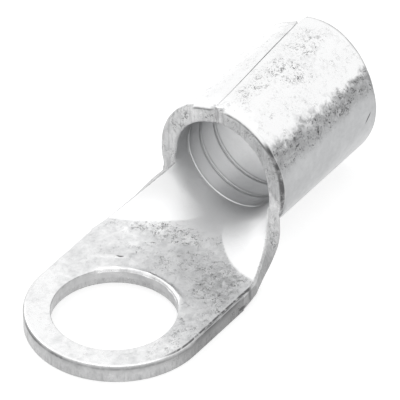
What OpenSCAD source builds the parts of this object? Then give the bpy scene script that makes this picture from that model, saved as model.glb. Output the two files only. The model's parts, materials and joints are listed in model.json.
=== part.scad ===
// Crimp ring terminal for a heavy copper cable, bare and tin plated.
// It is one piece of sheet copper: a flat ring tongue, a neck folded up at
// both sides, and a barrel rolled round until its edges meet in a butt seam.
// Millimetres. The origin is on the stud hole's axis at the tongue's underside,
// +X runs from the ring towards the wire entry and +Z is up.

/* [Sheet] */
// Thickness of the copper sheet
sheet_t = 2.05; // [1.6:0.05:2.4]
// Radius that blanking rolls onto the upper edges
edge_r = 0.25; // [0.1:0.05:0.4]

/* [Ring tongue] */
// Diameter of the stud hole
stud_d = 13; // [10.5:0.1:14]
// Width of the 45 degree break-out round the underside of the stud hole
breakout = 0.7; // [0.1:0.1:0.9]
// Radius of the round end, and half the width of the tongue
ring_r = 9.6; // [9.2:0.1:11]
// How far the middle of the round end lies behind the stud hole
ring_back = 0.5; // [0:0.1:1]
// Distance from the stud hole to where the straight sides end
shoulder_x = 9.3; // [7.5:0.1:11]

/* [Neck] */
// Length from the shoulders to the mouth of the barrel
neck_l = 9.85; // [8:0.05:12]
// Distance from each shoulder to the start of its crease
crease_run = 2.5; // [1.5:0.1:3.5]
// How much each side draws in over that distance
crease_in = 0.4; // [0:0.05:0.6]
// Distance from the pointed ends of the two creases to the mouth
crease_gap = 2.25; // [1.5:0.05:3]
// Half the width of the flat floor between those pointed ends
crease_half = 1.5; // [1:0.1:2.2]
// Angle from the bottom of the barrel up to where the neck joins each side
neck_angle = 76; // [66:1:78]
// Length over which the middle of the neck bends into the barrel
bend_l = 1.1; // [0.6:0.1:1.4]
// Length over which its sides bend into the barrel
side_l = 2.2; // [1.8:0.1:3]
// How far the folded sides flare outwards in front of the barrel
flare_out = 2.3; // [1:0.1:2.6]
// How far they flare downwards there
flare_down = 3.1; // [1:0.1:3.3]

/* [Barrel] */
// Outer diameter of the barrel
barrel_d = 15.5; // [14.5:0.1:16.5]
// Length of the barrel along its axis
barrel_l = 17.1; // [12:0.1:24]
// Lean of the rear end, whose top reaches further back
rear_lean = 4.6; // [0:0.2:6]
// Radius on the outer corner of the mouth
rim_r = 0.3; // [0.1:0.05:0.5]

/* [Serrations] */
// Number of grooves pressed round the inside of the barrel
groove_n = 3; // [1:1:4]
// Distance from the mouth to the first groove
groove_start = 2.3; // [1.5:0.1:3]
// Distance from one groove to the next
groove_pitch = 2.3; // [1.6:0.1:2.8]
// Width of a groove
groove_w = 0.7; // [0.3:0.05:1]
// Depth of a groove
groove_depth = 0.3; // [0.1:0.05:0.5]

/* [Seam] */
// Width of the groove along the butt seam
seam_w = 1.1; // [0.6:0.1:1.6]
// Depth of that groove
seam_depth = 0.45; // [0.2:0.05:0.7]
// Angle from the top of the barrel to the seam at the mouth
seam_mouth = 6; // [0:1:15]
// Angle from the top of the barrel to the seam at the rear
seam_rear = 16.5; // [0:0.5:20]
// Depth of the notch between the sheet's corners at each end of the seam
notch_depth = 1; // [0.3:0.1:1.5]
// Width of that notch
notch_w = 1.5; // [0.6:0.1:2]

/* [Hidden] */
$fn = 96;
slack = 0.5;                            // how far a cutting shape stands clear of what it cuts
inset = 0.03;                           // how far the neck's end lies inside the barrel's wall
stud_r = stud_d / 2;
barrel_r = barrel_d / 2;
bore_r = barrel_r - sheet_t;
axis_z = barrel_r;
mouth_x = shoulder_x + neck_l;
rear_x = mouth_x + barrel_l;
lean_reach = barrel_r * tan(rear_lean);
tip_v = asin(crease_half / bore_r) / neck_angle;
rows_flat = 3;                          // rows of facets on the neck's flat floor
rows_bent = 14;                         // rows on its bent part
across = 28;                            // strips from side to side
nudge = 0.01;                           // step for the directions of the neck's surface
copper = [0.80, 0.81, 0.82];

function mix(a, b, k) = a * (1 - k) + b * k;
function unit(p) = p / norm(p);
function side(v) = v < 0 ? -1 : 1;

// The neck's upper surface runs over v = -1 at one side to 1 at the other, and over
// u = 0 at the shoulders, 1 at the creases and 2 at the mouth.
function shoulder(v) = [shoulder_x, v * ring_r, sheet_t];
function crease(v) =
    abs(v) <= tip_v
    ? [mouth_x - crease_gap, crease_half * v / tip_v, sheet_t]
    : let (k = (abs(v) - tip_v) / (1 - tip_v))
      [mix(mouth_x - crease_gap, shoulder_x + crease_run, k),
       side(v) * mix(crease_half, ring_r - crease_in, k),
       sheet_t];
function mouth(v) = [
    mouth_x,
    (bore_r + inset) * sin(v * neck_angle),
    axis_z - (bore_r + inset) * cos(v * neck_angle)];
// From the crease to the mouth the surface is a quadratic curve. Its middle part ends along
// the barrel, and the flare grows with the fourth power towards the sides.
function rise(v, t) =
    let (f = pow(v, 4),
         lead = mouth(v) + [-mix(bend_l, side_l, f), side(v) * flare_out * f, -flare_down * f])
    pow(1 - t, 2) * crease(v) + 2 * t * (1 - t) * lead + t * t * mouth(v);
function upper(u, v) = u <= 1 ? mix(shoulder(v), crease(v), u) : rise(v, u - 1);
function along(u, v) = upper(min(u + nudge, 2), v) - upper(max(u - nudge, 0), v);
function athwart(u, v) = unit(upper(u, min(v + nudge, 1)) - upper(u, max(v - nudge, -1)));
function inward(v) = [0, -sin(v * neck_angle), cos(v * neck_angle)];
// The surface's normal, which turns to the barrel's own towards the mouth
function upright(u, v) =
    unit(mix(unit(cross(along(u, v), athwart(u, v))), inward(v), pow(max(u - 1, 0), 3)));
function wall(u) = sheet_t - 2 * inset * max(u - 1, 0);
function lower(u, v) = upper(u, v) - wall(u) * upright(u, v);
// Points round the rolled corner of one cut edge
function rolled(u, s) = [
    for (a = [0 : 30 : 90])
        upper(u, s) - edge_r * ((1 - sin(a)) * s * athwart(u, s) + (1 - cos(a)) * upright(u, s))];
function reversed(list) = [for (i = [len(list) - 1 : -1 : 0]) list[i]];
// The neck's closed section at u, from one side over the top and back underneath
function section(u) = concat(
    reversed(rolled(u, -1)),
    [for (j = [1 : across - 1]) upper(u, 2 * j / across - 1)],
    rolled(u, 1),
    [for (j = [across : -1 : 0]) lower(u, 2 * j / across - 1)]);
// Triangles that close such a section, between its upper and its lower points
function cap(n) =
    let (rim = (n - 2 * across) / 2, right = rim - 1 + across, low = n - 1)
    concat(
        [for (k = [0 : across - 1])
            each [[rim - 1 + k, rim + k, low - k - 1], [rim - 1 + k, low - k - 1, low - k]]],
        [for (k = [0 : rim - 2])
            each [[k, k + 1, low], [right + k, right + k + 1, low - across]]]);
function shifted(loop, x) = [for (p = loop) p + [x, 0, 0]];

// The part of a square that lies outside a quarter circle
module corner(r) {
    difference() {
        square(r + slack);
        circle(r);
    }
}

// The sheet's section from its middle out to a cut edge with a rolled corner
module half_section() {
    difference() {
        square([ring_r, sheet_t]);
        translate([ring_r - edge_r, sheet_t - edge_r]) corner(edge_r);
    }
}

module stud_hole() {
    translate([0, 0, -slack]) cylinder(r = stud_r, h = sheet_t + 2 * slack);
    translate([0, 0, -slack])
        cylinder(r1 = stud_r + breakout + slack, r2 = stud_r, h = breakout + slack);
    rotate_extrude()
        translate([stud_r + edge_r, sheet_t - edge_r]) mirror([1, 0]) corner(edge_r);
}

module tongue() {
    difference() {
        union() {
            translate([ring_back, 0, 0]) rotate_extrude(angle = 180, start = 90) half_section();
            translate([ring_back, 0, 0]) rotate([90, 0, 90])
                linear_extrude(shoulder_x - ring_back) {
                    half_section();
                    mirror([1, 0]) half_section();
                }
        }
        stud_hole();
    }
}

module neck() {
    bent = [for (i = [0 : rows_bent]) section(1 + i / rows_bent)];
    flat = [for (i = [0 : rows_flat - 1]) section(i / rows_flat)];
    root = [shifted(section(2), rim_r + inset)];      // runs on inside the barrel's wall
    loops = concat(flat, bent, root);
    n = len(loops[0]);
    m = len(loops);
    skin = [
        for (i = [0 : m - 2], j = [0 : n - 1])
            let (a = i * n + j, b = i * n + (j + 1) % n)
            each [[a, b, a + n], [b, b + n, a + n]]];
    caps = [
        for (f = cap(n))
            each [reversed(f), [for (k = f) (m - 1) * n + k]]];
    polyhedron([for (loop = loops) each loop], concat(skin, caps));
}

// Section of the barrel's wall: x is the radius and y the distance from the mouth
module wall_section() {
    difference() {
        translate([bore_r, 0]) square([sheet_t, barrel_l + lean_reach]);
        translate([barrel_r - rim_r, rim_r]) mirror([0, 1]) corner(rim_r);
        for (i = [0 : groove_n - 1])
            translate([bore_r, groove_start + i * groove_pitch])
                polygon([
                    [-slack, -groove_w / 2], [0, -groove_w / 2],
                    [groove_depth, 0],
                    [0, groove_w / 2], [-slack, groove_w / 2]]);
    }
}

// A point on the outside of the barrel, at an angle from its top
function on_barrel(x, a) = [x, barrel_r * sin(a), axis_z + barrel_r * cos(a)];

module seam_groove() {
    from = on_barrel(mouth_x, seam_mouth);
    run = on_barrel(rear_x, seam_rear) - from;
    flank = seam_w / (2 * seam_depth);
    translate(from)
        rotate([0, -asin(run.z / norm(run)), atan2(run.y, run.x)])
        rotate([-(seam_mouth + seam_rear) / 2, 0, 0])
        rotate([90, 0, 90])
        translate([0, 0, -slack])
            linear_extrude(norm(run) + 2 * slack)
                polygon([[0, -seam_depth], [flank * slack, slack - seam_depth],
                         [-flank * slack, slack - seam_depth]]);
}

// A wedge out of one end of the barrel, where the sheet's corners leave the seam open
module seam_notch(x, a, inwards) {
    translate([x, 0, axis_z]) rotate([-a, 0, 0])
        translate([0, 0, bore_r - slack])
            linear_extrude(sheet_t + 2 * slack)
                polygon([[inwards * notch_depth, 0],
                         [-inwards * notch_depth, notch_w],
                         [-inwards * notch_depth, -notch_w]]);
}

// What lies behind the leaning plane of the rear end
module rear_cut() {
    deep = 2 * barrel_d;
    translate([rear_x, 0, axis_z]) rotate([0, rear_lean, 0])
        translate([0, -deep / 2, -deep / 2]) cube(deep);
}

module barrel() {
    difference() {
        translate([mouth_x, 0, axis_z]) rotate([0, 90, 0]) rotate_extrude() wall_section();
        rear_cut();
        seam_groove();
        seam_notch(mouth_x, seam_mouth, 1);
        seam_notch(rear_x + lean_reach, seam_rear, -1);
    }
}

module ring_terminal() {
    color(copper) {
        tongue();
        neck();
        barrel();
    }
}

ring_terminal();
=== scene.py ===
import json
import math
from types import SimpleNamespace
import bpy
import numpy as np
from mathutils import Matrix, Vector


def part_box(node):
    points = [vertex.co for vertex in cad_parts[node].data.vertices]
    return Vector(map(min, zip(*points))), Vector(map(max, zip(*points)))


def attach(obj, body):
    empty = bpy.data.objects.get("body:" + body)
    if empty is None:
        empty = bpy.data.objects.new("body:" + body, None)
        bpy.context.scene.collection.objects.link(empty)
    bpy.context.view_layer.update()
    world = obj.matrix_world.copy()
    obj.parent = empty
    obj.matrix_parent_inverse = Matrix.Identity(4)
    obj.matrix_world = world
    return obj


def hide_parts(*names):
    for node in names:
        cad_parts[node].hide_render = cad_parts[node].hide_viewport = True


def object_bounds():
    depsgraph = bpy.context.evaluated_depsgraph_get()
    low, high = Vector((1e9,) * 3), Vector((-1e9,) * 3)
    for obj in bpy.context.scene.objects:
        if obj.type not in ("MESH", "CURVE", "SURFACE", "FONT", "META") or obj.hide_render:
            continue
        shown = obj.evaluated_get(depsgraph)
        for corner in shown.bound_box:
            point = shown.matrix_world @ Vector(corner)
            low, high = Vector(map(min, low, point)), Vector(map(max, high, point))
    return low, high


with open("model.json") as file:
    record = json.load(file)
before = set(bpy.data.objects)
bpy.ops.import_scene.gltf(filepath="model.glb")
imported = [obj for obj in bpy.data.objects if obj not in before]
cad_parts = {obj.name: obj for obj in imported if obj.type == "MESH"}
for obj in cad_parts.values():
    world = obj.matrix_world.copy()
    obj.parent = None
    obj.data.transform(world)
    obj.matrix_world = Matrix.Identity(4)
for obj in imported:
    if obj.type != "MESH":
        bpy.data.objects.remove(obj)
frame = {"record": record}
bpy.context.view_layer.update()
cadLow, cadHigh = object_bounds()

# The sheet's own sizes in millimetres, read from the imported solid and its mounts
mounts = {m["name"]: m for m in frame["record"]["mounts"]}
boxLow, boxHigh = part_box("ring_terminal")
sheetT = mounts["tongue_top"]["pos_m"][2] * 1000
studR = mounts["stud_hole"]["dims"]["r_mm"]
boreR = mounts["wire_barrel"]["dims"]["r_mm"]
axisZ = mounts["wire_barrel"]["pos_m"][2] * 1000
barrelR = boreR + sheetT
ringR = (boxHigh.y - boxLow.y) * 500
ringX = boxLow.x * 1000 + ringR
topX = boxHigh.x * 1000
print("frame: sheet", round(sheetT, 3), "bore", boreR, "ring", round(ringR, 3), "length", round(topX, 3))


def smooth(t):  # rises from 0 to 1 with level ends: 3 t^2 - 2 t^3
    t = np.clip(t, 0, 1)
    return t * t * (3 - 2 * t)


def step(x, start, end):  # 0 up to start and 1 from end on, or the other way where end is less
    return smooth((x - start) / (end - start))


def mix(a, b, k):  # straight line from a to b
    return a + (b - a) * k


def hump(x, middle, width):  # bell curve, 1 at its middle
    return np.exp(-((x - middle) / width) ** 2)


def stack(x, y, z):  # three arrays as one array of points, each stretched to the largest
    return np.stack(np.broadcast_arrays(x, y, z), -1).astype(float)


def unit(p):  # each vector divided by its own length
    return p / np.maximum(np.linalg.norm(p, axis=-1, keepdims=True), 1e-12)


# Pairs give the -y side first, then the +y side, and angles round the barrel are in degrees
# from its bottom, positive towards +y.
sheetLook = {
    "shoulderX": 9.3,      # where the tongue's straight sides end
    "creaseX": 16.9,       # pointed ends of the two creases
    "creaseHalf": 1.5,     # half the floor between them
    "creaseRun": 2.5,      # from the shoulders to the creases' outer ends
    "creaseIn": 0.32,      # how much the sides draw in over that run
    "arch": (-1.4, -0.6),  # bow of the creases
    "mouthX": 19.15,
    "neckAngle": 74,       # where the neck ends on the barrel
    # the neck curve's lead point, from the mouth: back along x, then outwards and down
    "leadX": 1.1, "leadOut": ((1.4, 1.35, 3.1), (2.5, 1.75, 2.05)),
    # the mouth's corners: wider and further forward inside, back and turned lower outside
    "flare": (1.1, 0.3), "forward": (0.75, 0.1), "behind": (0.75, -0.15), "tuck": (11, 1),
    "cornerFade": 18,      # angle above the neck's end where the corner's form is gone
    "cornerRun": 1.3,      # and how fast it fades behind the mouth
    "skew": (0.1, -0.1),   # of the barrel's mouth, at its seam
    "slide": (0.8, -0.5),  # of the barrel's rear, at its seam
    "flapRound": 0.28,     # how far the +y flap's corner is rounded back at the mouth
    "lean": 4.6,           # lean of the rear end
    "rearRoom": 0.62,      # length that the lean takes up
    "grooves": (2.25, 4.4, 6.9), "grooveDeep": (0.11, 0.1, 0.13), "grooveHalf": 0.1,
    "seam": (6.2, 16.7),   # angle of the seam from the top, at the mouth and at the rear
    "seamGap": 0.03,       # half its opening, as an angle
    "notch": (1.6, 1.3),   # how far the opening widens at the rear, and over what length
    # how far up the neck the painted highlight on the folded sides reaches, by distance from the middle
    "climbAt": (0.2, 0.28, 0.35, 0.48, 0.6, 0.7, 0.8, 0.9, 1.0),
    "climb": ((0.0, 0.1, 0.2, 0.3, 0.44, 0.58, 0.74, 0.88, 0.97),
              (0.0, 0.08, 0.18, 0.47, 0.66, 0.77, 0.84, 0.85, 0.83)),
    "gouge": (7.4, 4.56),  # the dent beside the stud hole
    "gougeDeep": 0.1, "gougeRidge": 0.12,
    "burr": 0.1,           # height of the burr on the stud hole's rim
    # radius of the cut edge's upper and lower corner on the ring, neck, mouth, seam and rear
    "rollTop": (0.3, 0.3, 0.16, 0.08, 0.15), "rollLow": (0.12, 0.3, 0.38, 0.06, 0.3),
    "rollNeckLeft": 0.12, "rollRingRight": 0.22,
    "rollHole": (0.09, 0.42), "rollHoleLow": 0.95,
    "rollDeepest": 0.4,    # most that a lower corner reaches in under the sheet
    "ringDraw": 0.55,      # how far the ring's underside is drawn outwards at the hole
    # grey of the sheared metal on the same five stretches, and on the hole's wall
    "cutGrey": (0.5, 0.47, 0.4, 0.3, 0.5), "holeGrey": 0.58,
}
barrelRun = topX - sheetLook["mouthX"] - sheetLook["rearRoom"]
creaseTip = math.degrees(math.asin(sheetLook["creaseHalf"] / boreR)) / sheetLook["neckAngle"]
ringEdge, neckEdge, mouthEdge, seamEdge, rearEdge = range(5)


def sided(v, pair):  # the pair's first value where v is below 0, the second elsewhere
    return np.where(v < 0, *pair)


def neckTop(u, v):
    # u runs 0 at the shoulders, 1 at the creases, 2 at the mouth; v from -1 to 1 across.
    # Flat between shoulders and creases, then a quadratic curve from the crease by way of
    # a lead point to the mouth's arc.
    s = sheetLook
    side = sided(v, (-1.0, 1.0))
    a = np.abs(v)
    k = np.clip((a - creaseTip) / (1 - creaseTip), 0, 1)
    crease = stack(
        mix(s["creaseX"], s["shoulderX"] + s["creaseRun"], k) + sided(v, s["arch"]) * 4 * k * (1 - k),
        np.where(a < creaseTip, s["creaseHalf"] * v / creaseTip,
                 side * mix(s["creaseHalf"], ringR - s["creaseIn"], k)),
        sheetT)
    shoulder = stack(s["shoulderX"], v * ringR, sheetT)
    mouth = barrelPoint(v * s["neckAngle"], 0, True)
    out = [sided(v, pair) * a ** 3 for pair in zip(*s["leadOut"])]
    lead = mouth + stack(-s["leadX"] - out[0], side * out[1], -out[2])
    t = np.clip(u - 1, 0, 1)[..., None]
    bent = (1 - t) ** 2 * crease + 2 * t * (1 - t) * lead + t * t * mouth
    flat = mix(shoulder, crease, np.clip(u, 0, 1)[..., None])
    return np.where((u <= 1)[..., None], flat, bent)


def corner(angle):
    # 1 where the neck's sides meet the mouth: below it the sixth power of the angle, above it
    # a soft fall to 0
    a = np.abs(angle)
    edge = sheetLook["neckAngle"]
    return np.where(a < edge, (a / edge) ** 6, 1 - step(a, edge, edge + sheetLook["cornerFade"]))


def barrelPoint(angle, run, inner):
    # A point on a circle round the barrel's axis, at a distance run behind the mouth. The
    # inner side carries the grooves, each a bell curve with a small ridge before it. Both
    # sides flare at the corners with the neck, and the rear end leans with the height.
    s = sheetLook
    flare = corner(angle) * np.exp(-np.asarray(run, float) / s["cornerRun"])
    upper = smooth((np.abs(angle) - 100) / 80)
    flap = smooth((angle - 168) / 6) * np.exp(-(np.asarray(run, float) / 0.5) ** 2)
    if inner:
        r = boreR + sided(angle, s["flare"]) * flare
        for g, deep in zip(s["grooves"], s["grooveDeep"]):
            r = r + deep * hump(run, g, s["grooveHalf"]) - deep * 0.6 * hump(run, g - 0.2, 0.09)
        x = s["mouthX"] - sided(angle, s["forward"]) * flare + run
        turned = angle
    else:
        r = barrelR - 0.05 * flare
        x = s["mouthX"] + sided(angle, s["behind"]) * flare + run
        turned = angle - sided(angle, s["tuck"]) * np.sign(angle) * flare
    y, z = r * np.sin(np.radians(turned)), axisZ - r * np.cos(np.radians(turned))
    w = np.clip(run / barrelRun, 0, 1)
    mouthSkew = sided(angle, s["skew"]) * upper + s["flapRound"] * flap
    x = x + mix(mouthSkew, sided(angle, s["slide"]) * upper, w)
    x = x + w * (z - axisZ) * math.tan(math.radians(s["lean"]))
    return stack(x, y, z)


def lip(degrees):
    # the burr on the stud hole's rim: 1 on the side towards the neck, with two small breaks
    reach = step(degrees, -56, -40) * (1 - step(degrees, 48, 64))
    return reach * (0.75 + 0.25 * np.sin(degrees * 0.31) * np.sin(degrees * 0.13 + 1))


def spaced(marks, steps):
    # samples along a line whose step sizes are interpolated between marks: equal shares of
    # the running sum of 1 over the step
    fine = np.linspace(marks[0], marks[-1], 4000)
    dense = np.cumsum(1 / np.interp(fine, marks, steps))
    dense = (dense - dense[0]) / (dense[-1] - dense[0])
    count = int(np.sum(np.diff(fine) / np.interp(fine[:-1], marks, steps)))
    return np.interp(np.linspace(0, 1, count + 1), dense, fine)


def sheetSamples():
    # Samples across the neck (v), along the neck (u), along the barrel (run) and round its two
    # wings (wing): close where the surface bends, and wide beside a cut edge, so that the
    # first cell is wider than the rolled corner.
    v = spaced([-1, -0.95, -0.9, 0.9, 0.95, 1], [0.045, 0.03, 0.02, 0.02, 0.03, 0.045])
    u = np.concatenate([np.linspace(0, 1, 22), 1 + np.linspace(0, 1, 46)[1:]])
    marks, steps = [0, 0.6], [0.6, 0.25]
    for g in sheetLook["grooves"]:
        marks += [g - 0.7, g - 0.42, g + 0.25, g + 0.5]
        steps += [0.25, 0.05, 0.05, 0.25]
    run = spaced(marks + [12, barrelRun - 0.8, barrelRun], steps + [0.3, 0.3, 0.45])
    wing = spaced([0, 0.8, 0.93, 1], [0.0165, 0.0165, 0.035, 0.06])[1:]
    return v, u, run, wing


def barrelAngles(v, run, wing):
    # angles round the barrel for each run: the -y wing from the seam down, the neck's part,
    # and the +y wing up to the seam, which slants and opens into the rear notch
    s = sheetLook
    along = (run / barrelRun)[:, None]
    seam = mix(*s["seam"], (smooth(along) + along) / 2)
    wide, length = s["notch"]
    gap = s["seamGap"] + wide * step(run[:, None], barrelRun - length, barrelRun)
    right = mix(-s["neckAngle"], -(180 + seam) + gap, wing[None, ::-1])
    left = mix(s["neckAngle"], 180 - seam - gap, wing[None, :])
    return np.concatenate([right, v[None, :] * s["neckAngle"] + 0 * along, left], 1)


def easeBend(neck, inside, v, wings):
    # The curve from the neck into the barrel, and the floor between the creases' tips: rows
    # are averaged with their neighbours, 1-2-1, again and again, less and less away from the
    # mouth's row and from the creases' row, and towards the cut edges.
    mouthRow, creaseRow = len(neck) - 1, 23
    mouthReach, creaseReach, rounds = 13, 16, 70
    flow = np.concatenate([neck, inside[1:, wings:wings + len(v)]])
    row = np.arange(len(flow))[:, None]
    a = np.abs(v)[None, :]
    atMouth = (1 - smooth(np.abs(row - mouthRow) / mouthReach)) * (1 - step(a, 0.86, 1))
    atTips = 1 - smooth(np.abs(row - creaseRow) / creaseReach)
    atTips = atTips * (1 - step(a / creaseTip, 0.8, 1.3))
    ease = np.maximum(atMouth, atTips)[..., None]
    for again in range(rounds):
        mean = flow.copy()
        mean[1:-1] = (flow[:-2] + 2 * flow[1:-1] + flow[2:]) / 4
        flow = mix(flow, mean, ease)
    inside[:, wings:wings + len(v)] = flow[mouthRow:]
    return flow[:mouthRow + 1], inside


def neckUnder(neck, mouthRow, u):
    # lower side of the neck: the sheet's thickness along the surface's own normal, drawn to
    # the barrel's outer side at the mouth by the fourth power of the way there
    normal = unit(np.cross(np.gradient(neck, axis=0), np.gradient(neck, axis=1)))
    under = neck - sheetT * normal
    w = (np.clip(u - 1, 0, 1) ** 4)[:, None, None]
    return under + (mouthRow - under[-1]) * w


def ringFaces(v):
    # The ring: straight lines from the hole's edge to the outline, which runs along the -y
    # side, round the end, along the +y side and back across the shoulders. The gouge is a
    # round hollow with a long ridge beside it, and the burr falls off from the hole's edge.
    s = sheetLook
    straight = np.linspace(s["shoulderX"], ringX, 46)
    turn = np.radians(np.linspace(-90, -270, 150))
    rim = np.concatenate([
        np.stack([straight, -ringR + 0 * straight], -1),
        np.stack([ringX + ringR * np.cos(turn), ringR * np.sin(turn)], -1)[1:-1],
        np.stack([straight[::-1], ringR + 0 * straight], -1),
        np.stack([s["shoulderX"] + 0 * v, v * ringR], -1)[::-1][1:-1]])
    free = 2 * len(straight) + len(turn) - 2
    around = np.arctan2(rim[:, 1], rim[:, 0])
    hole = studR * np.stack([np.cos(around), np.sin(around)], -1)
    j = spaced([0, 0.16, 0.3, 0.75, 1], [0.16, 0.06, 0.045, 0.06, 0.17])[:, None]
    flat = mix(hole[None], rim[None], j[..., None])
    burr = lip(np.degrees(around))[None]
    dx, dy = flat[..., 0] - s["gouge"][0], flat[..., 1] - s["gouge"][1]
    ridge = s["gougeRidge"] * np.exp(-((dx + dy * 0.6) / 0.45) ** 2 - ((dy - 0.9) / 1.5) ** 2)
    hollow = s["gougeDeep"] * np.exp(-(dx ** 2 + dy ** 2) / 0.12)
    rise = burr * s["burr"] * np.exp(-(j / 0.12) ** 2) + ridge - hollow
    top = stack(flat[..., 0], flat[..., 1], sheetT + rise)
    drawn = flat + unit(rim - hole)[None] * (s["ringDraw"] * (j > 0) * (1 - j))[..., None]
    low = stack(drawn[..., 0], drawn[..., 1], 0)
    # last, where the burr sits on the hole's edge, for its painted highlight
    return top, low, free, burr * (j < 0.02)


def quads(ids, closed=False):  # four-cornered faces between the neighbours of a grid of numbers
    if closed:
        ids = np.concatenate([ids, ids[:, :1]], 1)
    return np.stack([ids[:-1, :-1], ids[1:, :-1], ids[1:, 1:], ids[:-1, 1:]], -1).reshape(-1, 4)


def numberGrids(neckShape, barrelShape, ringShape, wings, free):
    # Numbers of the points of one face of the sheet, with shared points counted once: the
    # mouth's row and the shoulders' row both belong to the neck. Also which are new.
    rows, across = neckShape
    neckId = np.arange(rows * across).reshape(neckShape)
    barrelNew = np.ones(barrelShape, bool)
    barrelNew[0, wings:wings + across] = False
    barrelId = np.zeros(barrelShape, int)
    barrelId[0, wings:wings + across] = neckId[-1]
    barrelId[barrelNew] = neckId.size + np.arange(barrelNew.sum())
    ringNew = np.ones(ringShape, bool)
    ringNew[-1, 0] = ringNew[-1, free - 1:] = False
    ringId = np.zeros(ringShape, int)
    ringId[-1, free - 1:] = neckId[0, ::-1][:-1]
    ringId[-1, 0] = neckId[0, 0]
    ringId[ringNew] = neckId.size + barrelNew.sum() + np.arange(ringNew.sum())
    return neckId, barrelId, ringId, barrelNew, ringNew


def outlineOf(neckId, barrelId, ringId, wings, free):
    # the sheet's cut edge as one closed line, and which stretch each of its points is on
    last = wings + neckId.shape[1] - 1
    parts = [
        (ringId[-1, :free], ringEdge), (neckId[1:, -1], neckEdge),
        (barrelId[0, last + 1:], mouthEdge), (barrelId[1:, -1], seamEdge),
        (barrelId[-1, :-1][::-1], rearEdge), (barrelId[:-1, 0][::-1], seamEdge),
        (barrelId[0, 1:wings], mouthEdge), (neckId[1:, 0][::-1], neckEdge)]
    return np.concatenate([ids for ids, kind in parts]), np.repeat(
        [kind for ids, kind in parts], [len(ids) for ids, kind in parts])


def rolledWall(a, b, rTop, rLow):
    # The cut edge between an upper line a and a lower line b: a quarter circle of radius rTop
    # at the top, a straight part, and a quarter ellipse at the bottom. Gives both lines
    # moved in by the corners, and the nine rows between them.
    up = unit(a - b)
    tangent = sum(unit(np.roll(line, -1, 0) - np.roll(line, 1, 0)) for line in (a, b))
    away = unit(np.cross(up, unit(tangent)))
    rTop, rLow = rTop[:, None], rLow[:, None]
    back = np.minimum(rLow, sheetLook["rollDeepest"])
    q = np.radians([30, 60, 90])[:, None, None]
    upper = a - rTop * ((1 - np.sin(q)) * away + (1 - np.cos(q)) * up)
    middle = mix(a - rTop * up, b + rLow * up, np.array([0.12, 0.5, 0.88])[:, None, None])
    q = q[::-1]
    lower = b - (1 - np.sin(q)) * back * away + (1 - np.cos(q)) * rLow * up
    return a - rTop * away, b - back * away, np.concatenate([upper, middle, lower])


def cornerSizes(a, kinds, rough):
    # radii of the upper and lower corner along the outline, uneven by the factor rough, or
    # along the hole where kinds is None, where the upper one swells with the burr
    s = sheetLook
    if kinds is None:
        swell = lip(np.degrees(np.arctan2(a[:, 1], a[:, 0])))
        return mix(*s["rollHole"], swell) * rough, s["rollHoleLow"] + 0 * rough
    rTop = np.choose(kinds, s["rollTop"]) * rough
    rTop = np.where((kinds == neckEdge) & (a[:, 1] > 0), s["rollNeckLeft"], rTop)
    ringRight = (kinds == ringEdge) & (a[:, 1] < 0)
    rTop = np.where(ringRight, mix(rTop, s["rollRingRight"], step(a[:, 0], -1, 2)), rTop)
    return rTop, np.choose(kinds, s["rollLow"]) * rough


def holeMarks(a):
    # grey, shade-and-dirt and bright weights for the nine rows of the hole's wall: plain metal under
    # a burr with a painted highlight
    swell = lip(np.degrees(np.arctan2(a[:, 1], a[:, 0])))
    grey = np.full((9, len(a)), sheetLook["holeGrey"])
    shadeAndDirt, brightAndHighlitRows = np.zeros_like(grey), np.zeros_like(grey)
    # a painted highlight on the burr's upper corner, and no marks on the sheared middle
    brightAndHighlitRows[:3], shadeAndDirt[3:6] = swell, -1
    brightAndHighlitRows[0] = np.maximum(swell, 0.5)
    return grey, shadeAndDirt, brightAndHighlitRows


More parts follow.
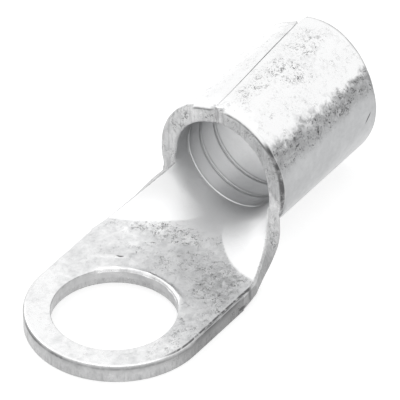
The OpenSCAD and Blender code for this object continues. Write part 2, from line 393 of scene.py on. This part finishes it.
def outlineMarks(a, kinds):
    # The same weights for the outline's wall. Rows 0 to 2 are the upper corner, 3 to 5 the
    # sheared middle and 6 to 8 the lower corner. turned is the angle from the barrel's top.
    right = a[:, 1] < 0
    turned = np.degrees(np.arctan2(-a[:, 1], a[:, 2] - axisZ))
    atRing, atNeck, atMouth, atSeam, atRear = (kinds == k for k in range(5))
    grey = np.zeros((9, len(a))) + np.choose(kinds, sheetLook["cutGrey"])
    shadeAndDirt, brightAndHighlitRows = np.zeros_like(grey), np.zeros_like(grey)
    ringRight = atRing & right
    gouged = ringRight * step(a[:, 0], -1, 3) * (0.8 + 0.2 * np.sin(a[:, 0] * 2.3))
    grey[3:] += ringRight * 0.45 * step(a[:, 0], -5, 2)
    grey[3:] += (atNeck & right) * 0.4 * (1 - step(a[:, 2], 2.6, 4.4))
    # painted shade: a dark line under the ring's rim; along the gouge, dark, light and dark rows, partly
    # marks of the gouge
    shadeAndDirt[:4] = np.outer([0.0, 0.1, 0.6, 0.3], atRing) + np.outer([1.0, 0.15, 0.6, 0.25], gouged)
    # painted shade: a dark line where the edge turns away on the +y side
    shadeAndDirt[:3] += np.outer([0.0, 0.48, 0.64], (atRing | atNeck) & ~right)
    # darker lower corners on ring and neck
    shadeAndDirt[6:] += np.outer([0.12, 0.3, 0.42], atRing | atNeck)
    # on the mouth's outer corner a dark line of painted shade and dirt lies at the side, and a painted
    # highlight above and below it
    worn = atMouth * step(turned, 40, 50) * (1 - step(turned, 98, 106))
    shine = atMouth * step(turned, -32, -27) * (1 - worn) * right
    flap = atMouth * step(turned, -30, -26) * (1 - step(turned, -9, -5))
    shine = np.maximum(shine, flap)
    shadeAndDirt[6:] += np.outer([0.8, 1.0, 1.0], worn) + np.outer([0.9, 0.0, 0.0], shine)
    # a darker fringe on the rear's lower corner at -y
    shadeAndDirt[7:] += np.outer([0.5, 0.7], atRear & right)
    # a painted highlight on the mouth's outer corner and on the ring's upper corner, and bright plate over
    # the seam's walls
    brightAndHighlitRows[7:] = shine + 0.8 * atSeam
    brightAndHighlitRows[3:6] = 0.7 * atSeam
    brightAndHighlitRows[0] = 0.9 * atRing * (1 - gouged)
    return grey, np.clip(shadeAndDirt, -1, 1), np.clip(brightAndHighlitRows, 0, 1)


def neckZones(u, v):
    # Three weights over the neck: a painted highlight on the folded sides, from the crease up to a
    # line that climbs with the distance from the middle; the way into the bore; and the throat.
    s = sheetLook
    a = np.abs(v)[None, :] + 0 * u[:, None]
    t = np.clip(u - 1, 0, 1)[:, None] + 0 * a
    climb = sided(v, [np.interp(a, s["climbAt"], heights) for heights in s["climb"]])
    fold = smooth((u - 1) / 0.03)[:, None] * step(a, 0.18, 0.23) * (1 - smooth((t - climb + 0.02) / 0.07))
    early = 0.3 * (1 - step(a, 0.15, 0.3))
    throat = smooth((u[:, None] - 0.97 + early) / (0.06 + early))
    return fold.reshape(-1), step(t, 0.6, 1).reshape(-1), throat.reshape(-1)


def makeSheet():
    # The whole terminal: an upper and a lower face over the same grids, neck, barrel and ring,
    # and two walls between them, round the outline and round the stud hole.
    v, u, run, wing = sheetSamples()
    wings = len(wing)
    angle = barrelAngles(v, run, wing)
    behind = run[:, None] + 0 * angle
    inside, outside = barrelPoint(angle, behind, True), barrelPoint(angle, behind, False)
    neck = neckTop(u[:, None] + 0 * v, v[None, :] + 0 * u[:, None])
    neck, inside = easeBend(neck, inside, v, wings)
    under = neckUnder(neck, outside[0, wings:wings + len(v)], u)
    top, low, free, holeRim = ringFaces(v)
    print("grids: neck", neck.shape[:2], "barrel", angle.shape, "ring", top.shape[:2])

    neckId, barrelId, ringId, barrelNew, ringNew = numberGrids(
        neck.shape[:2], angle.shape, top.shape[:2], wings, free)
    topP = np.concatenate([neck.reshape(-1, 3), inside[barrelNew], top[ringNew]])
    lowP = np.concatenate([under.reshape(-1, 3), outside[barrelNew], low[ringNew]])
    face = len(topP)
    faces = np.concatenate([quads(neckId), quads(barrelId), quads(ringId, True)[:, ::-1]])
    walls, wallPoints = [faces, faces[:, ::-1] + face], []

    fold, bore, throat = neckZones(u, v)
    barrelPlain, ringPlain = np.zeros(barrelNew.sum()), np.zeros(ringNew.sum())
    shadeAndDirt = np.zeros(2 * face)
    # a darker fringe along the rear's lower edge
    shadeAndDirt[face + barrelId[-1]] = 0.35
    weights = {
        "cutEdge": [np.zeros(2 * face)],
        "rimDirt": [shadeAndDirt],
        # a painted highlight on the folded sides and on the stud hole's burr, and on the wall rows below
        "foldedSide": [fold, barrelPlain, holeRim[ringNew], np.zeros(face)]}

    total = 2 * face
    outline, kinds = outlineOf(neckId, barrelId, ringId, wings, free)
    for ids, kind in ((outline, kinds), (ringId[0][::-1], None)):
        a, b = topP[ids], lowP[ids]
        along = np.arange(len(ids)) * 0.11
        rough = 1 + 0.10 * np.sin(along * 2.1) * np.sin(along * 0.83 + 1) + 0.05 * np.sin(along * 5.3)
        topP[ids], lowP[ids], rows = rolledWall(a, b, *cornerSizes(a, kind, rough))
        fresh = total + np.arange(rows.shape[0] * len(ids)).reshape(rows.shape[:2])
        strip = quads(np.concatenate([ids[None], fresh, ids[None] + face]), True)
        walls.append(np.roll(strip[:, ::-1], 1, 1))
        wallPoints.append(rows.reshape(-1, 3))
        total += fresh.size
        marks = holeMarks(a) if kind is None else outlineMarks(a, kind)
        for name, mark in zip(("cutEdge", "rimDirt", "foldedSide"), marks):
            weights[name].append(mark.reshape(-1))
    rest = np.zeros(total - len(fold) - len(barrelPlain))
    weights["boreSide"] = [bore, barrelPlain + 1, rest]
    weights["throat"] = [throat, barrelPlain + 1, rest]
    zones = {name: np.concatenate(parts) for name, parts in weights.items()}
    return np.concatenate([topP, lowP] + wallPoints), np.concatenate(walls), zones


def meshObject(name, points, faces):  # a smooth shaded mesh, with millimetres made metres
    mesh = bpy.data.meshes.new(name)
    mesh.from_pydata(points * 0.001, [], faces.tolist())
    mesh.update()
    mesh.shade_smooth()
    thing = bpy.data.objects.new(name, mesh)
    bpy.context.scene.collection.objects.link(thing)
    return thing


points, faces, zones = makeSheet()
terminal = meshObject("crimpTerminal", points, faces)
for name, weight in zones.items():
    attribute = terminal.data.attributes.new(name, "FLOAT", "POINT")
    attribute.data.foreach_set("value", weight.astype(np.float32))
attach(terminal, "root")
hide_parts("ring_terminal")
corners = points[np.concatenate([faces[:, [0, 1, 2]], faces[:, [0, 2, 3]]])]
volume = np.einsum("ij,ij->i", corners[:, 0], np.cross(corners[:, 1], corners[:, 2])).sum() / 6
print("sheet: points", len(points), "triangles", len(corners), "volume", round(float(volume), 1))

viewLook = {
    "azimuth": 35.32, "elevation": 38.43, "roll": -0.46,  # degrees from +x, downwards, and over
    "aim": (0.01162, -0.00258, 0.00983), "distance": 0.816,
    "lens": 720, "sensor": 36,
}


def addCamera():
    # looks along the heading at the aim from the distance, then rolls about its own axis
    a, e = math.radians(viewLook["azimuth"]), math.radians(viewLook["elevation"])
    ahead = Vector((math.cos(e) * math.cos(a), math.cos(e) * math.sin(a), -math.sin(e)))
    camera = bpy.data.objects.new("camera", bpy.data.cameras.new("camera"))
    camera.data.lens = viewLook["lens"]
    camera.data.sensor_width = viewLook["sensor"]
    camera.data.clip_start, camera.data.clip_end = 0.01, 10
    turn = ahead.to_track_quat("-Z", "Y").to_matrix().to_4x4()
    roll = Matrix.Rotation(math.radians(viewLook["roll"]), 4, "Z")
    place = Matrix.Translation(Vector(viewLook["aim"]) - ahead * viewLook["distance"])
    camera.matrix_world = place @ turn @ roll
    bpy.context.scene.collection.objects.link(camera)
    bpy.context.scene.camera = camera


addCamera()
bpy.context.scene.view_settings.view_transform = "Standard"
print("camera ready")


class Graph:  # short hand for wiring shader nodes
    def __init__(self, tree):
        self.tree = tree

    def add(self, kind, inputs=None, **settings):  # a node, each input wired or set
        n = self.tree.nodes.new(kind)
        for key, value in settings.items():
            setattr(n, key, value)
        for key, value in (inputs or {}).items():
            socket = n.inputs[key]
            if isinstance(value, bpy.types.NodeSocket):
                self.tree.links.new(value, socket)
            elif isinstance(value, tuple) and socket.type == "RGBA":
                socket.default_value = (*value, 1)
            else:
                socket.default_value = value
        return n

    def math(self, operation, a, b=0.0, c=0.0, clamp=False):  # any one step of arithmetic
        n = self.add("ShaderNodeMath", {0: a, 1: b, 2: c}, operation=operation, use_clamp=clamp)
        return n.outputs[0]

    def times(self, first, *others, clamp=False):  # product
        for other in others:
            first = self.math("MULTIPLY", first, other, clamp=clamp)
        return first

    def most(self, first, *others):  # the largest of them
        for other in others:
            first = self.math("MAXIMUM", first, other)
        return first

    def minus(self, a, b, clamp=False):  # a less b
        return self.math("SUBTRACT", a, b, clamp=clamp)

    def plus(self, a, k, b):  # a times k, plus b
        return self.math("MULTIPLY_ADD", a, k, b)

    def ramp(self, value, low, high, start=0.0, end=1.0):  # soft step between low and high
        n = self.add("ShaderNodeMapRange", {"Value": value, "From Min": low, "From Max": high,
                                            "To Min": start, "To Max": end},
                     interpolation_type="SMOOTHSTEP")
        return n.outputs["Result"]

    def noise(self, vector, scale, detail=2.0, rough=0.5, distort=0.0, move=(0, 0, 0)):
        # octaves of smooth noise, each weaker by the factor rough, read at a place moved off
        vector = self.place(vector, move=move)
        n = self.add("ShaderNodeTexNoise", {"Vector": vector, "Scale": scale, "Detail": detail,
                                            "Roughness": rough, "Distortion": distort})
        return n.outputs["Fac"]

    def place(self, vector, move=(0, 0, 0), size=(1, 1, 1)):  # scaled, then moved
        return self.add("ShaderNodeMapping", {"Vector": vector, "Location": move, "Scale": size}).outputs[0]

    def blend(self, k, a, b):  # a colour between a and b
        return self.add("ShaderNodeMix", {0: k, 6: a, 7: b}, data_type="RGBA").outputs[2]

    def pick(self, k, a, b):  # a plain number between a and b
        return self.add("ShaderNodeMix", {0: k, 2: a, 3: b}, data_type="FLOAT").outputs[0]

    def blob(self, a, b, atA, atB, wideA, wideB):  # 1 inside an ellipse, fading over its outer half
        da = self.plus(a, 1 / wideA, -atA / wideA)
        db = self.plus(b, 1 / wideB, -atB / wideB)
        return self.ramp(self.math("ADD", self.times(da, da), self.times(db, db)), 1.0, 0.25)

    def weight(self, name):  # the mesh's own weight of that name
        return self.add("ShaderNodeAttribute", attribute_name=name).outputs["Fac"]


# Places are in millimetres, angles in degrees from the barrel's top, positive towards -y, and
# noise scales are in waves per millimetre. Four numbers of a dullness, painted light and shade
# included, are a soft step: where it starts and ends, and its value before and after.
plateLook = {
    # the dull colour is also the colour of the painted shade on the barrel and in the bore
    "bright": (0.955, 0.957, 0.96), "dullAndShade": (0.475, 0.48, 0.487),
    "sheared": (0.27, 0.27, 0.272), "dark": (0.05, 0.05, 0.052),
    "roughBright": 0.26, "roughDull": 0.45, "roughNeck": 0.55,
    "broadScale": 0.28, "fineScale": 1.3,
    "tongueDull": (-8.0, 7.0, 0.05, 0.47), "tongueSlant": -0.55,  # along x, and how y counts in it
    # painted light: the throat is kept bright where it mirrors the dark bore
    "throatPaintedLight": (9.0, 17.0, 1.0, 0.1),       # the tongue's is multiplied by this along x
    # painted reflection on the barrel: grey on the -y flank from 45 degrees down, lighter again low down,
    # and grey on the +y flap
    "bandDull": (42.0, 60.0, -0.12, 0.95),     # by angle, down the -y side of the barrel
    "underPaintedReflection": (88.0, 125.0, 0.0, 0.25),     # taken off below the band
    "flapPaintedShade": (-20.0, -70.0, 0.0, 0.3),      # down the +y side
    # painted shade in the bore: darker inwards and high on the +y side, lighter on its floor
    "borePaintedShade": (18.5, 21.5, 0.16, 0.5),       # along x, from the mouth inwards
    "boreUpperPaintedShade": (-130.0, -70.0, 0.0, 0.52),   # added high on the bore's +y side
    "boreFloorPaintedLight": (110.0, 150.0, 0.0, 0.11),    # taken off on the bore's floor
    "cutDull": 0.3, "unevenBroad": 1.1, "unevenFine": 1.2, "unevenFlank": 0.25,
    "wavyBroad": 24.0, "wavyFine": 11.0,       # how far the band's edges wander
    # a dark band along the flank, partly wear and partly painted reflection
    "band": (47.0, 57.0, 64.0, 76.0),          # the worn band fades in, then out
    # worn spots on the barrel's top: x, angle, half length, half width
    "topSpots": ((33.5, 4.0, 3.4, 16.0), (28.6, 12.0, 3.0, 22.0), (24.5, 4.0, 5.0, 10.0)),
    "smudge": (9.9, -6.2, 3.6, 3.0),  # worn patch beside the hole: x, y, half length, half width
    "smudgeWander": (9.0, 7.0),       # how far its outline wanders in x and y
    "nick": (34.6, 88.0, 0.2, 4.0),   # slanted scratch near the rear: x, angle, half width, half length
    "nickSlant": 0.15, "nickDark": 0.8,
    # noise scale, and the levels between which the marks set in
    "scratches": (1.5, 0.008, 0.036), "breaks": (1.3, 0.48, 0.56), "patches": (0.5, 0.42, 0.59),
    "pits": (3.4, 0.58, 0.66), "pitDark": 0.45,
    "grain": (6.5, 0.50, 0.66), "grainDark": 0.3,
    "torn": ((3.4, 3.4, 0.5), 0.46, 0.66), "tornDark": 0.22,
    # painted shade and dirt on rolled corners: noise scale and levels where it sets in, its least strength,
    # and its darkness
    "shadeAndDirtComes": (0.6, 0.30, 0.55), "shadeAndDirtLeast": 0.4, "shadeAndDirtDark": 0.9,
    # dark lines at the ring's edge fade in and out at these distances in from the edge, and
    # below the face
    "faceLine": (0.44, 0.30, 0.18, 0.10), "sideLine": (0.58, 0.46, 0.36, 0.26),
    "sideDark": 0.6, "lineDark": 0.85,
    "chip": (9.6, 0.6, 0.75, 0.3),    # at the shoulder: x plus height, height, half length, half height
    "bumpStrength": 0.35, "bumpDepth": 0.00008, "bumpMarks": -0.8, "bumpFine": 0.6,
}


def plateZones(g):
    # what the patterns are made from: places, the mesh's own weights, two noises, and where
    # the plate is outside of the barrel, sheared, or plain
    w = SimpleNamespace()
    w.mm = g.place(g.add("ShaderNodeTexCoord").outputs["Object"], size=(1000, 1000, 1000))
    xyz = g.add("ShaderNodeSeparateXYZ", {0: w.mm}).outputs
    w.x, w.y, w.z = xyz[0], xyz[1], xyz[2]
    w.around = g.math("DEGREES", g.math("ARCTAN2", g.times(w.y, -1.0), g.minus(w.z, axisZ)))
    # folded: bright plate, with a painted highlight on the folded sides, the burr and the rims
    w.folded, w.bore, w.throat = (g.weight(name) for name in ("foldedSide", "boreSide", "throat"))
    w.cutEdge = g.times(g.weight("cutEdge"), g.minus(1.0, w.folded))
    w.rimDirt = g.weight("rimDirt")
    w.broad = g.noise(w.mm, plateLook["broadScale"], 4, 0.55, 0.4)
    w.fine = g.noise(w.mm, plateLook["fineScale"], 5, 0.62, 0.6, move=(7, 3, 1))
    w.sheared = g.ramp(w.cutEdge, 0.02, 0.25)
    w.outer = g.times(g.ramp(w.x, 18.6, 19.4), g.minus(1.0, g.most(w.bore, w.sheared)))
    w.plain = g.minus(1.0, g.most(w.folded, g.times(w.throat, 0.95)), clamp=True)
    wavy = g.plus(g.minus(w.broad, 0.5), plateLook["wavyBroad"], w.around)
    w.wavy = g.plus(g.minus(w.fine, 0.5), plateLook["wavyFine"], wavy)
    return w


def dullnessAndPaintedLight(g, w):
    # how dull the plate is, painted light and shade included: on the tongue more towards the neck
    # and -y, little in the throat (painted light), on the barrel from 45 to 60 degrees off the top
    # (painted reflection), in the bore more inwards and high on the +y side (painted shade), and
    # uneven everywhere by the two noises
    look = plateLook
    tongue = g.ramp(g.plus(w.y, look["tongueSlant"], w.x), *look["tongueDull"])
    # painted light: the throat kept bright
    tongue = g.times(tongue, g.ramp(w.x, *look["throatPaintedLight"]))
    # painted reflection: the -y flank grey, lighter again below, and the +y flap grey
    barrel = g.math("ADD", g.ramp(w.wavy, *look["bandDull"]), g.ramp(w.around, *look["flapPaintedShade"]))
    barrel = g.minus(barrel, g.ramp(w.around, *look["underPaintedReflection"]))
    # painted shade in the bore
    upper = g.times(g.ramp(w.around, *look["boreUpperPaintedShade"]), g.ramp(w.around, 10.0, -10.0))
    bore = g.math("ADD", upper, g.ramp(w.x, *look["borePaintedShade"]))
    bore = g.minus(bore, g.ramp(g.math("ABSOLUTE", w.around), *look["boreFloorPaintedLight"]))
    dullAndShade = g.pick(w.outer, tongue, barrel)
    dullAndShade = g.pick(w.sheared, g.pick(w.bore, dullAndShade, bore), look["cutDull"])
    uneven = g.times(g.minus(w.broad, 0.5), look["unevenBroad"])
    uneven = g.plus(g.minus(w.fine, 0.5), look["unevenFine"], uneven)
    calm = g.pick(g.times(w.outer, g.ramp(w.wavy, 48.0, 62.0)), 1.0, look["unevenFlank"])
    dullAndShade = g.plus(w.plain, g.times(uneven, calm), dullAndShade)
    # no dullness where the highlight is painted
    return g.times(dullAndShade, g.minus(1.0, w.folded), clamp=True)


def wornPlaces(g, w):
    # The band, partly wear and partly painted reflection, and the spots on the barrel, and patches
    # and the smudge on the tongue: worn is how strong the marks are at a place, and where is 1 in
    # the places that they gather in.
    look = plateLook
    x, y, length, width = look["smudge"]
    alongX, alongY = look["smudgeWander"]
    w.smudge = g.blob(g.plus(g.minus(w.broad, 0.5), alongX, w.x), g.plus(g.minus(w.fine, 0.5), alongY, w.y),
                      x, y, length, width)
    start, full, fading, end = look["band"]
    w.band = g.times(g.ramp(w.wavy, start, full), g.ramp(w.wavy, end, fading))
    tops = g.most(*(g.blob(w.x, w.around, *spot) for spot in look["topSpots"]))
    scale, low, high = look["patches"]
    patches = g.ramp(g.noise(w.mm, scale, 3, 0.65, 0.5, move=(8, 1, 3)), low, high)
    tongue = g.ramp(g.plus(w.y, -0.75, w.x), -2.0, 12.0, 0.2, 0.9)
    tongue = g.most(tongue, g.times(w.smudge, 1.05))
    barrel = g.math("ADD", g.times(w.band, 1.1), g.plus(tops, 0.7, 0.3), clamp=True)
    barrel = g.times(barrel, g.ramp(w.around, 78.0, 68.0, 0.2, 1.0))
    w.worn = g.times(g.pick(w.outer, tongue, barrel), w.plain)
    onBarrel = g.times(w.outer, g.most(g.times(tops, 0.7), w.band))
    w.where = g.most(patches, g.times(w.smudge, 0.6), onBarrel)


def smallMarks(g, w):
    # short scratches along a noise's middle level, pits and grain where the plate is worn,
    # streaks left by the shearing across the sheet's thickness, and painted shade and dirt on rolled
    # corners
    look = plateLook
    scale, thin, wide = look["scratches"]
    line = g.noise(w.mm, scale, 3, 0.6, 1.3, move=(3, 9, 2))
    line = g.ramp(g.math("ABSOLUTE", g.minus(line, 0.5)), thin, wide, 1.0, 0.0)
    scale, low, high = look["breaks"]
    broken = g.ramp(g.noise(w.mm, scale, 2, 0.5, move=(1, 5, 8)), low, high)
    scale, low, high = look["pits"]
    pits = g.ramp(g.noise(w.mm, scale, 2, 0.6, move=(4, 2, 6)), low, high)
    scale, low, high = look["grain"]
    grain = g.ramp(g.noise(w.mm, scale, 3, 0.7, move=(2, 2, 2)), low, high)
    marks = g.most(g.times(line, broken), g.times(pits, look["pitDark"]))
    marks = g.times(g.times(marks, w.where), w.worn, clamp=True)
    dust = g.plus(w.cutEdge, 0.6, g.times(w.worn, w.where))
    dust = g.times(grain, look["grainDark"], dust)
    size, low, high = look["torn"]
    torn = g.ramp(g.noise(g.place(w.mm, size=size), 1.0, 3, 0.6), low, high, 0.0, look["tornDark"])
    torn = g.times(torn, w.sheared)
    # painted shade and dirt on the rolled corners, broken up by a noise
    scale, low, high = look["shadeAndDirtComes"]
    w.comes = g.ramp(g.noise(w.mm, scale, 4, 0.7, move=(5, 5, 0)), low, high, look["shadeAndDirtLeast"], 1.0)
    shade = g.most(marks, dust, torn, g.times(w.rimDirt, w.comes, look["shadeAndDirtDark"]))
    clean = g.math("ADD", g.math("MINIMUM", w.rimDirt, 0.0), 1.0)
    return g.times(shade, clean, clamp=True)


def ringLines(g, w):
    # dark lines along the ring's edge at -y, one on its face and one of painted shade under the rim's
    # painted highlight in front, and a chip at the shoulder: bands of the distance from the ring's centre
    # line
    back = g.math("MINIMUM", g.minus(w.x, ringX), 0.0)
    reach = g.math("SQRT", g.plus(back, back, g.times(w.y, w.y)))
    edge = g.ramp(reach, ringR - 0.12, ringR - 0.04)
    a, b, c, d = (ringR - inwards for inwards in plateLook["faceLine"])
    onFace = g.times(g.ramp(reach, a, b), g.ramp(reach, d, c), g.ramp(w.x, -4.5, -1.5),
                     g.ramp(w.fine, 0.36, 0.5, 0.45, 1.0))
    a, b, c, d = (sheetT - down for down in plateLook["sideLine"])
    # painted shade below the rim in front
    onSide = g.times(g.ramp(w.z, a, b), g.ramp(w.z, d, c), edge, plateLook["sideDark"], w.comes)
    chip = g.times(g.blob(g.math("ADD", w.x, w.z), w.z, *plateLook["chip"]), edge)
    right = g.times(g.ramp(w.y, -1.0, -4.0), g.ramp(w.x, 11.4, 10.4))
    return g.times(g.most(onFace, onSide, chip), right, plateLook["lineDark"])


def gougeMarks(g, w):
    # a dark slanted spot in the gouge, and a bright broken streak on the ridge beside it
    gx, gy = sheetLook["gouge"]
    onTop = g.ramp(w.z, sheetT - 0.3, sheetT - 0.2)
    slash = g.blob(g.plus(w.y, 0.5, w.x), w.y, gx + gy * 0.5 - 0.05, gy - 0.05, 0.13, 0.42)
    streak = g.blob(g.plus(w.y, 0.55, w.x), w.y, gx + gy * 0.55 - 0.25, gy + 0.9, 0.35, 2.0)
    return g.times(slash, onTop), g.times(streak, onTop, g.ramp(w.fine, 0.42, 0.52))


def tinPlate():
    # Metal whose colour goes from bright to dull plate, painted light and shade included, then to
    # sheared metal on cut edges, smears and the band's painted reflection, then to dark in the marks
    # and in lines of painted shade. Roughness follows the dullness and is satin in the neck, and the
    # bump follows the fine noise and sinks in the marks.
    look = plateLook
    metal = bpy.data.materials.new("tinPlate")
    metal.use_nodes = True
    g = Graph(metal.node_tree)
    shader = metal.node_tree.nodes["Principled BSDF"]
    w = plateZones(g)
    wornPlaces(g, w)
    (x, angle, width, length), slant = look["nick"], look["nickSlant"]
    nick = g.blob(g.plus(w.around, slant, w.x), w.around, x + slant * angle, angle, width, length)
    slash, streak = gougeMarks(g, w)
    shade = g.most(smallMarks(g, w), ringLines(g, w), slash, g.times(nick, w.outer, look["nickDark"]))
    dullAndShade = g.times(dullnessAndPaintedLight(g, w), g.minus(1.0, streak))

    colour = g.blend(dullAndShade, look["bright"], look["dullAndShade"])
    # grey smear on the band: wear and painted reflection
    smearAndShade = g.times(w.band, w.outer, g.ramp(w.fine, 0.35, 0.62, 0.15, 0.6))
    cloud = g.times(w.smudge, w.plain, g.ramp(w.fine, 0.42, 0.62, 0.0, 0.3), g.minus(1.0, w.outer))
    colour = g.blend(g.most(w.cutEdge, smearAndShade, cloud), colour, look["sheared"])
    colour = g.blend(shade, colour, look["dark"])
    metal.node_tree.links.new(colour, shader.inputs["Base Color"])

    satin = g.times(g.most(w.throat, g.ramp(w.x, 6.0, 14.0)), g.ramp(w.x, 22.0, 19.5))
    satin = g.times(satin, g.minus(1.0, w.sheared), clamp=True)
    rough = g.pick(satin, g.pick(dullAndShade, look["roughBright"], look["roughDull"]), look["roughNeck"])
    metal.node_tree.links.new(rough, shader.inputs["Roughness"])
    shader.inputs["Metallic"].default_value = 1
    height = g.plus(shade, look["bumpMarks"], g.times(w.fine, look["bumpFine"]))
    bumps = g.add("ShaderNodeBump", {"Strength": look["bumpStrength"], "Distance": look["bumpDepth"],
                                     "Height": height})
    metal.node_tree.links.new(bumps.outputs[0], shader.inputs["Normal"])
    return metal


terminal.data.materials.append(tinPlate())
print("material ready")

studioLook = {
    "floorSize": 1.2, "floorColour": 0.54,
    "floorGlow": 0.66,    # added to the floor as it is seen, so that it is white
    "world": 0.75,        # light from all round; it is seen as 1
    # lamps: place from the part's middle, size, power
    "softOverhead": ((0.0, 0.0, 0.55), 0.5, 0.36),
    "softSide": ((0.05, 0.42, 0.36), 0.35, 0.3),
}


def seenDirectly(g):  # 1 on rays from the camera, off a gloss or through glass, else 0
    path = g.add("ShaderNodeLightPath").outputs
    return g.most(path["Is Camera Ray"], path["Is Glossy Ray"], path["Is Transmission Ray"])


def floorPaint():  # a matt grey that glows only where it is seen
    paint = bpy.data.materials.new("paleFloor")
    paint.use_nodes = True
    g = Graph(paint.node_tree)
    shader = paint.node_tree.nodes["Principled BSDF"]
    shader.inputs["Base Color"].default_value = (*[studioLook["floorColour"]] * 3, 1)
    shader.inputs["Roughness"].default_value = 0.9
    shader.inputs["Specular IOR Level"].default_value = 0.1
    shader.inputs["Emission Color"].default_value = (1, 1, 1, 1)
    glow = g.times(seenDirectly(g), studioLook["floorGlow"])
    paint.node_tree.links.new(glow, shader.inputs["Emission Strength"])
    return paint


def makeFloor(middle):  # a square round the middle, a hair below the part
    half = studioLook["floorSize"] / 2
    corners = [(middle + x * half, y * half, 0) for x, y in ((-1, -1), (1, -1), (1, 1), (-1, 1))]
    mesh = bpy.data.meshes.new("floor")
    mesh.from_pydata(corners, [], [(0, 1, 2, 3)])
    mesh.materials.append(floorPaint())
    floor = bpy.data.objects.new("floor", mesh)
    floor.location.z = cadLow.z - 0.00002
    bpy.context.scene.collection.objects.link(floor)


def makeWorld():  # even white light, seen at full strength and lighting at the world's level
    world = bpy.data.worlds.new("studio")
    world.use_nodes = True
    g = Graph(world.node_tree)
    back = world.node_tree.nodes["Background"]
    back.inputs["Color"].default_value = (1, 1, 1, 1)
    dim = studioLook["world"]
    world.node_tree.links.new(g.plus(seenDirectly(g), 1 - dim, dim), back.inputs["Strength"])
    bpy.context.scene.world = world


def addLamp(name, middle):  # a round soft lamp that faces the part's middle on the floor
    place, size, power = studioLook[name]
    lamp = bpy.data.lights.new(name, "AREA")
    lamp.shape, lamp.size, lamp.energy = "DISK", size, power
    light = bpy.data.objects.new(name, lamp)
    light.location = Vector(place) + Vector((middle, 0, 0))
    light.rotation_mode = "QUATERNION"
    light.rotation_quaternion = (Vector((middle, 0, 0)) - light.location).to_track_quat("-Z", "Y")
    bpy.context.scene.collection.objects.link(light)


middle = (cadLow.x + cadHigh.x) / 2
makeFloor(middle)
makeWorld()
addLamp("softOverhead", middle)
addLamp("softSide", middle)
print("studio ready")

print("cad", [round(x * 1000, 2) for x in (*cadLow, *cadHigh)])
